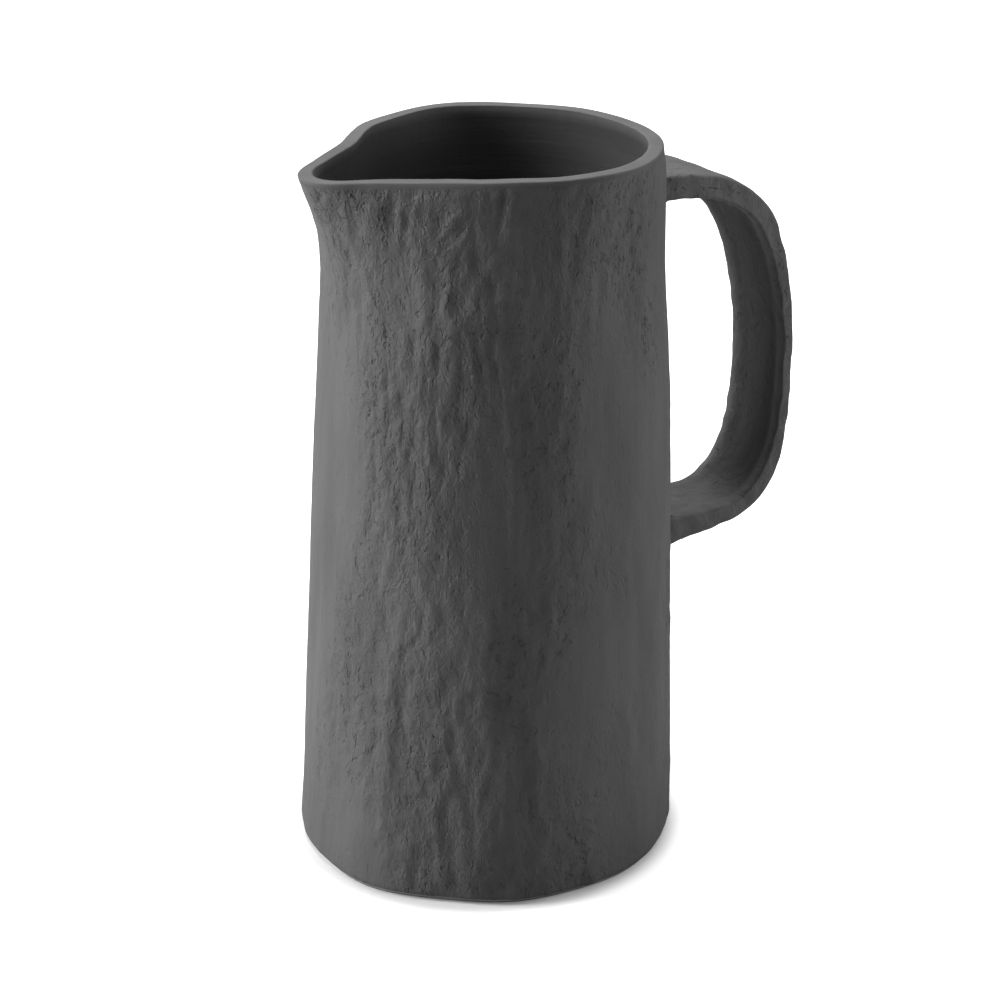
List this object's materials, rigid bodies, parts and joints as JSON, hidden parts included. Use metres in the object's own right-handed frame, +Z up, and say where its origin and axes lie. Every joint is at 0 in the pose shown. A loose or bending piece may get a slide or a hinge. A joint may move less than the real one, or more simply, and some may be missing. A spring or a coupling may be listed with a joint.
{
  "type": "oinochoe jug",
  "caption": "Tall hand-built stoneware wine jug with a drawn-out pouring lip, a closed strap handle at the back and a flat foot.",
  "frame": {"origin": "on the jug's axis, in the plane that the foot rests on", "axes": "+Z up, +X from the axis towards the strap handle, so the pouring lip points along -X"},
  "size_m": [0.1873, 0.1346, 0.25],
  "materials": {
    "stoneware_wall": "matte, carved and scraped",
    "stoneware_inside": "satin, thrown smooth",
    "stoneware_strap": "matte, pulled"
  },
  "bodies": {
    "root": {"wall": "stoneware_wall", "floor_disc": "stoneware_inside", "floor_seam_coil": "stoneware_inside", "handle_strap": "stoneware_strap", "upper_luting_coil": "stoneware_strap", "lower_luting_coil": "stoneware_strap"}
  },
  "joints": []
}
